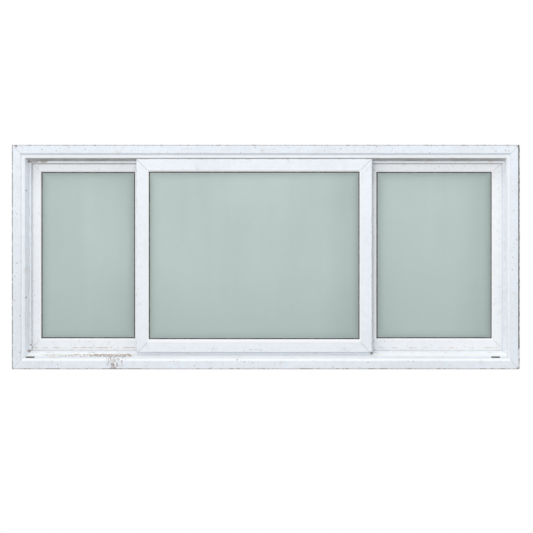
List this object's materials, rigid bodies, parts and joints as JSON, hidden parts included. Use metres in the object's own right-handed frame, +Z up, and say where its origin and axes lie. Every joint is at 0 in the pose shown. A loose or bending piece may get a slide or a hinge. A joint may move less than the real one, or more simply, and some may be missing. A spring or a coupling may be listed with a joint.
{
  "type": "horizontal sliding window",
  "caption": "White vinyl horizontal sliding window with a flush fin frame, a fixed centre panel standing forward and a sliding sash behind it at each end.",
  "frame": {"origin": "on the back face of the sill's fin, at mid length and at mid width of the fin", "axes": "+X along the window to the right as seen from outside, +Y from outside into the room, +Z up"},
  "size_m": [2.062, 0.086, 0.902],
  "materials": {
    "frame_vinyl": "weathered white vinyl, satin",
    "centre_vinyl": "weathered white vinyl, satin",
    "sash_vinyl": "weathered white vinyl, satin",
    "bead_vinyl": "white vinyl, satin",
    "outer_glass": "grey-green obscured glass",
    "inner_glass": "grey-green glass",
    "gasket": "dark glazing rubber",
    "spacer": "mill",
    "pile": "light grey woven pile",
    "hardware": "white enamel",
    "roller": "moulded nylon"
  },
  "bodies": {
    "root": {"centre_beads": "bead_vinyl", "centre_bottom_rail": "centre_vinyl", "centre_gasket": "gasket", "centre_inner_glass": "inner_glass", "centre_left_stile": "centre_vinyl", "centre_outer_glass": "outer_glass", "centre_right_stile": "centre_vinyl", "centre_spacer": "spacer", "centre_top_rail": "centre_vinyl", "frame_head": "frame_vinyl", "frame_left_jamb": "frame_vinyl", "frame_right_jamb": "frame_vinyl", "frame_sill": "frame_vinyl", "head_pile": "pile", "left_jamb_pile": "pile", "left_sash_beads": "bead_vinyl", "left_sash_bottom_rail": "sash_vinyl", "left_sash_gasket": "gasket", "left_sash_inner_glass": "inner_glass", "left_sash_jamb_stile": "sash_vinyl", "left_sash_latch": "hardware", "left_sash_meeting_stile": "sash_vinyl", "left_sash_outer_glass": "outer_glass", "left_sash_pull": "hardware", "left_sash_rollers": "roller", "left_sash_spacer": "spacer", "left_sash_top_rail": "sash_vinyl", "right_jamb_pile": "pile", "right_sash_beads": "bead_vinyl", "right_sash_bottom_rail": "sash_vinyl", "right_sash_gasket": "gasket", "right_sash_inner_glass": "inner_glass", "right_sash_jamb_stile": "sash_vinyl", "right_sash_latch": "hardware", "right_sash_meeting_stile": "sash_vinyl", "right_sash_outer_glass": "outer_glass", "right_sash_pull": "hardware", "right_sash_rollers": "roller", "right_sash_spacer": "spacer", "right_sash_top_rail": "sash_vinyl", "sill_pile": "pile"}
  },
  "joints": []
}
